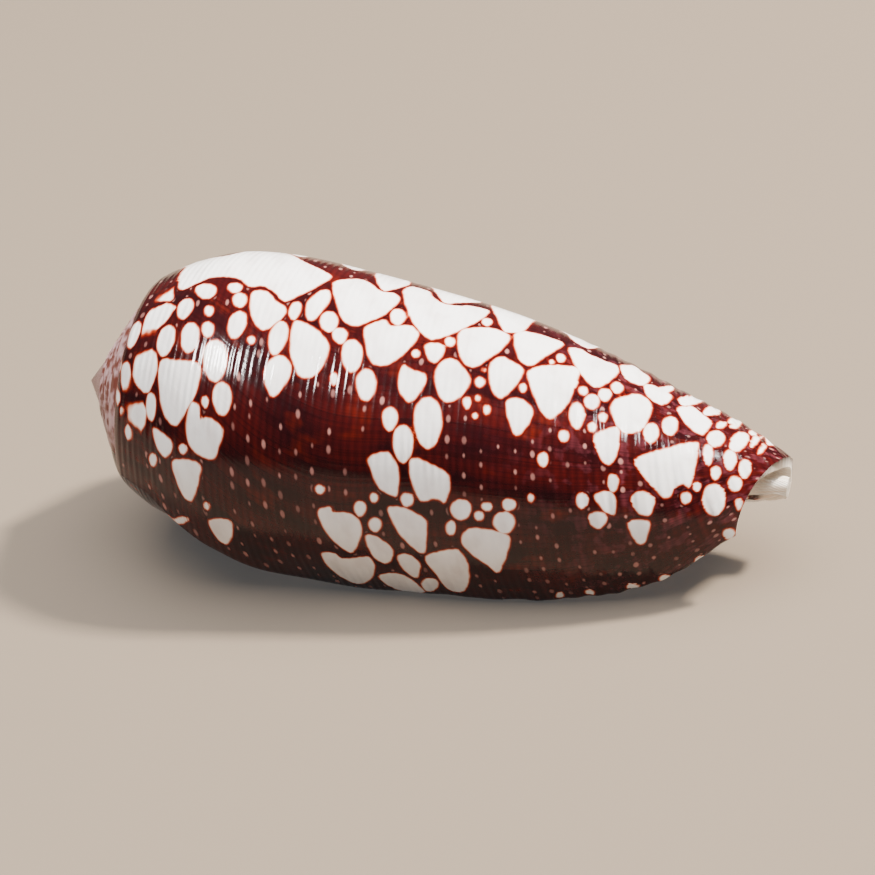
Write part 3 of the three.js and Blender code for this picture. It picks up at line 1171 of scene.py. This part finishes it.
tents_vector = made_node("ShaderNodeAttribute", {}, output="Vector", attribute_name="tents")
tents_split = tree.nodes.new("ShaderNodeSeparateXYZ")
feed(tents_split.inputs[0], tents_vector)
first_layer, second_layer, third_layer = tents_split.outputs
nearest_tent = calculate("MAXIMUM", calculate("MAXIMUM", first_layer, second_layer), third_layer)
edge_noise = noise_along(1.1, 1.1, detail=1.0)
shake = calculate("MULTIPLY_ADD", edge_noise, FRINGE_SHAKE, -FRINGE_SHAKE / 2)
tent_edge = plus(nearest_tent, plus(shake, times(thread_wave, THREAD_SHAKE)))
fringe_low = FRINGE[0][0]
fringe_high = FRINGE[-1][0]


def along_fringe(values):
    """A colour ramp over the tent's edge, from outside to inside."""
    place_on_ramp = step_between(tent_edge, fringe_low, fringe_high, kind="LINEAR")
    ramp_output = made_node("ShaderNodeValToRGB", {"Fac": place_on_ramp}, output="Color")
    stops = ramp_output.node.color_ramp.elements
    while len(stops) < len(values):
        stops.new(0.5)
    for stop, (at, colour) in zip(stops, values):
        stop.position = (at - fringe_low) / (fringe_high - fringe_low)
        stop.color = colour
    return ramp_output


fringe_colour = along_fringe([(at, colour) for at, colour, _ in FRINGE])
fringe_share = along_fringe([(at, (share, share, share, 1.0)) for at, _, share in FRINGE])
whiteness = step_between(tent_edge, 0.0, WHITE_FROM)
milk = step_between(noise_along(0.6, 0.4, detail=3.0), 0.4, 0.75)
milk_share = times(whiteness, times(milk, MILK_STRENGTH))
tent_colour = blend(milk_share, fringe_colour, PORCELAIN_SHADE)
print("with the tents", len(tree.nodes), "nodes")

# %% [markdown]
# The tiny dots sit in rows on the spiral threads. The skin is divided into cells, one dot
# to a cell, and each cell's random numbers shift it, size it or leave it out.

# %% Rows of tiny dots
DOT_TRACK_PITCH = 1.2
DOT_GROWN_PITCH = 1.3
DOT_SQUEEZE = 0.6
DOT_SHIFT = 0.5
SMALLEST_DOT = 0.05
DOT_SPREAD = 0.1
DOTS_LEFT_OUT = 0.3
FAINTEST_DOT = 0.1
DOT_STRENGTH = 0.7
DOT_EDGE = (0.08, -0.05)
CLEAR_OF_TENTS = (-0.15, -0.3)
DOT_SEED = 0.5
DOT_COLOUR = paint(176, 120, 112)


def random_of(first, second, output):
    vector = made_node("ShaderNodeCombineXYZ", {"X": first, "Y": second, "Z": DOT_SEED})
    return made_node("ShaderNodeTexWhiteNoise", {"Vector": vector}, output=output)


dot_column = times(track, 1 / DOT_TRACK_PITCH)
column_number = calculate("FLOOR", dot_column)
dot_row = plus(times(grown, 1 / DOT_GROWN_PITCH), random_of(column_number, 0.0, "Value"))
row_number = calculate("FLOOR", dot_row)
cell_colour = random_of(column_number, row_number, "Color")
draws = made_node("ShaderNodeSeparateColor", {"Color": cell_colour})
shift_draw, size_draw, keep_draw = draws.node.outputs
across_dot = minus(minus(dot_column, column_number), 0.5)
down_dot = minus(minus(dot_row, row_number), 0.5)
down_dot = plus(down_dot, calculate("MULTIPLY_ADD", shift_draw, DOT_SHIFT, -DOT_SHIFT / 2))
across_mm = times(across_dot, DOT_TRACK_PITCH)
down_mm = times(down_dot, DOT_SQUEEZE * DOT_GROWN_PITCH)
from_dot = calculate("SQRT", plus(times(across_mm, across_mm), times(down_mm, down_mm)))
dot_size = calculate("MULTIPLY_ADD", size_draw, DOT_SPREAD, SMALLEST_DOT)
dot = step_between(minus(from_dot, dot_size), *DOT_EDGE)
kept_dots = calculate("GREATER_THAN", keep_draw, DOTS_LEFT_OUT)
off_tents = step_between(nearest_tent, *CLEAR_OF_TENTS)
drawn_strength = calculate("MULTIPLY_ADD", keep_draw, DOT_STRENGTH, FAINTEST_DOT)
dot_strength = times(off_tents, drawn_strength)
dot_share = times(times(dot, kept_dots), dot_strength)
print("with the dots", len(tree.nodes), "nodes")

# %% [markdown]
# The spire is worn and mottled, lilac and brown, and the inside of the shell is cream.

# %% Put the colours together
SPIRE_LILAC = paint(196, 158, 158)
SPIRE_BROWN = paint(112, 58, 46)
CREAM = paint(250, 242, 230)
CREAM_SHADE = paint(234, 212, 188)
SPIRE_STRENGTH = 0.85

colour = blend(dot_share, ground, DOT_COLOUR)
colour = blend(fringe_share, colour, tent_colour)
spire_patch = step_between(noise_along(1.1, 0.5, detail=4.0), 0.42, 0.6)
spire_colour = blend(spire_patch, SPIRE_BROWN, SPIRE_LILAC)
spire_share = number_on_skin("spire")
colour = blend(times(spire_share, SPIRE_STRENGTH), colour, spire_colour)
inner_colour = blend(step_between(noise_along(0.3, 0.6), 0.4, 0.7), CREAM, CREAM_SHADE)
colour = blend(number_on_skin("inside"), colour, inner_colour)
feed(shader.inputs["Base Color"], colour)
print("paint uses", len(tree.nodes), "nodes")

# %% [markdown]
# The glaze is glossy, but not a mirror: spiral threads and growth lines a few hundredths
# of a millimetre high break the highlights into short streaks. They are too fine for the
# mesh, so they are a bump in the shader, and the roughness varies a little as well.

# %% Gloss, threads and growth lines
BUMP_DEPTH = 0.000026
LEAST_THREAD = 0.25
THREAD_CHANGE = 0.9
GROWTH_LINE_SHARE = 0.35
FINE_SHARE = 0.3
GLOSSIEST = 0.07
GLOSS_CHANGE = 0.14
SPIRE_DULLNESS = 0.2
GLAZE_IOR = 1.5
GLAZE_SHINE = 0.34

patches = step_between(noise_along(0.9, 0.25), 0.3, 0.7)
thread_depth = calculate("MULTIPLY_ADD", patches, THREAD_CHANGE, LEAST_THREAD)
height = plus(times(thread, thread_depth), times(growth_lines, GROWTH_LINE_SHARE))
height = plus(height, times(noise_along(5.0, 1.2, detail=3.0), FINE_SHARE))
bump = made_node("ShaderNodeBump", {"Strength": 1.0, "Distance": BUMP_DEPTH, "Height": height})
feed(shader.inputs["Normal"], bump)
gloss_noise = noise_along(0.5, 1.5, detail=3.0)
gloss = calculate("MULTIPLY_ADD", gloss_noise, GLOSS_CHANGE, GLOSSIEST)
feed(shader.inputs["Roughness"], plus(gloss, times(spire_share, SPIRE_DULLNESS)))
shader.inputs["IOR"].default_value = GLAZE_IOR
shader.inputs["Specular IOR Level"].default_value = GLAZE_SHINE
shell_mesh.materials.append(glaze)
print("glaze uses", len(tree.nodes), "nodes")

# %% [markdown]
# ## Table and light
#
# The shell lies on a plain table. Its colour is a middle grey, which the lamps make pale,
# so that it throws no more light on the shell's underside than the photo's sand does.

# %% Table
TABLE_REACH = 3
TABLE_COLOUR = paint(110, 97, 83)
TABLE_ROUGHNESS = 0.85

table_mesh = bpy.data.meshes.new("table")
corner_signs = [(-1, -1), (1, -1), (1, 1), (-1, 1)]
table_corners = [(TABLE_REACH * x, TABLE_REACH * y, 0) for x, y in corner_signs]
table_mesh.from_pydata(table_corners, [], [(0, 1, 2, 3)])
table = bpy.data.objects.new("table", table_mesh)
bpy.context.scene.collection.objects.link(table)
table_finish = bpy.data.materials.new("pale_table")
table_finish.use_nodes = True
table_shader = table_finish.node_tree.nodes["Principled BSDF"]
table_shader.inputs["Base Color"].default_value = TABLE_COLOUR
table_shader.inputs["Roughness"].default_value = TABLE_ROUGHNESS
table_mesh.materials.append(table_finish)
print("table", 2 * TABLE_REACH, "m wide")

# %% [markdown]
# In the photo the sun comes from the upper right and a little behind. Here a warm lamp
# stands for it, with a wide soft lamp above and a faint sky to lighten the shadows. Two
# small lamps make only the highlights. Their places come from the highlights themselves:
# light leaves the skin at the angle at which it arrived, so the line of sight, mirrored
# at the highlight, points to the lamp.

# %% Lamps
SUN_DIRECTION = np.array([0.5, 0.3, 0.81])
SUN_DISTANCE = 0.6
SUN_SIZE = (0.07, 0.07)
SUN_POWER = 17
SUN_COLOUR = (1.0, 0.95, 0.88)
SOFTBOX_HEIGHT = 0.8
SOFTBOX_SIZE = (1.0, 1.0)
SOFTBOX_POWER = 25
SKY_STRENGTH = 0.12
SKY_COLOUR = (0.93, 0.96, 1.0, 1.0)

GLINT_DISTANCE = 0.5
PROBE_STEP = 0.01

# Pixel of each highlight, and the size and power of the lamp that makes it
GLINTS = {
    "shoulder glint": ((215, 358), (0.11, 0.14), 10.0),
    "front glint": ((664, 440), (0.03, 0.09), 1.2),
}


def mirrored_sight(pixel):
    """The place on the skin under a pixel, and the direction its highlight comes from."""
    growth, level = find_on_skin(np.array(pixel, float))
    growths_round = growth + PROBE_STEP * np.array([-1, 1, 0, 0])
    levels_round = level + PROBE_STEP * np.array([0, 0, -0.5, 0.5])
    around = place(*skin_coil(growths_round, levels_round))
    normal = np.cross(around[1] - around[0], around[3] - around[2])
    normal /= np.linalg.norm(normal)
    spot = around.mean(0)
    sight = camera_place - spot
    sight /= np.linalg.norm(sight)
    return spot, 2 * (normal @ sight) * normal - sight


def add_lamp(name, where, toward, size, power):
    """A rectangular lamp that faces a point. Its first size runs along the shell's axis."""
    lamp_data = bpy.data.lights.new(name, "AREA")
    lamp_data.shape = "RECTANGLE"
    lamp_data.size, lamp_data.size_y = size
    lamp_data.energy = power
    lamp = bpy.data.objects.new(name, lamp_data)
    bpy.context.scene.collection.objects.link(lamp)
    back = where - toward
    back /= np.linalg.norm(back)
    side = np.array([1.0, 0, 0])
    side -= (side @ back) * back
    side /= np.linalg.norm(side)
    lamp_axes = [side, np.cross(back, side), back, where]
    lamp.matrix_world = Matrix([*zip(*lamp_axes), (0, 0, 0, 1)])
    return lamp


shell_middle = np.array([0, 0, solid_high[2] / 2])
sun_place = shell_middle + SUN_DIRECTION * SUN_DISTANCE
sun = add_lamp("sun", sun_place, shell_middle, SUN_SIZE, SUN_POWER)
sun.data.color = SUN_COLOUR
sun.visible_glossy = False
softbox_place = shell_middle + np.array([0, 0, SOFTBOX_HEIGHT])
softbox = add_lamp("softbox", softbox_place, shell_middle, SOFTBOX_SIZE, SOFTBOX_POWER)
softbox.visible_glossy = False
for name, (pixel, size, power) in GLINTS.items():
    spot, direction = mirrored_sight(pixel)
    glint = add_lamp(name, spot + direction * GLINT_DISTANCE, spot, size, power)
    glint.data.use_shadow = False
    glint.visible_diffuse = False
    print(name, "from", direction.round(2))

world = bpy.data.worlds.new("soft_sky")
bpy.context.scene.world = world
world.use_nodes = True
sky = world.node_tree.nodes["Background"]
sky.inputs["Color"].default_value = SKY_COLOUR
sky.inputs["Strength"].default_value = SKY_STRENGTH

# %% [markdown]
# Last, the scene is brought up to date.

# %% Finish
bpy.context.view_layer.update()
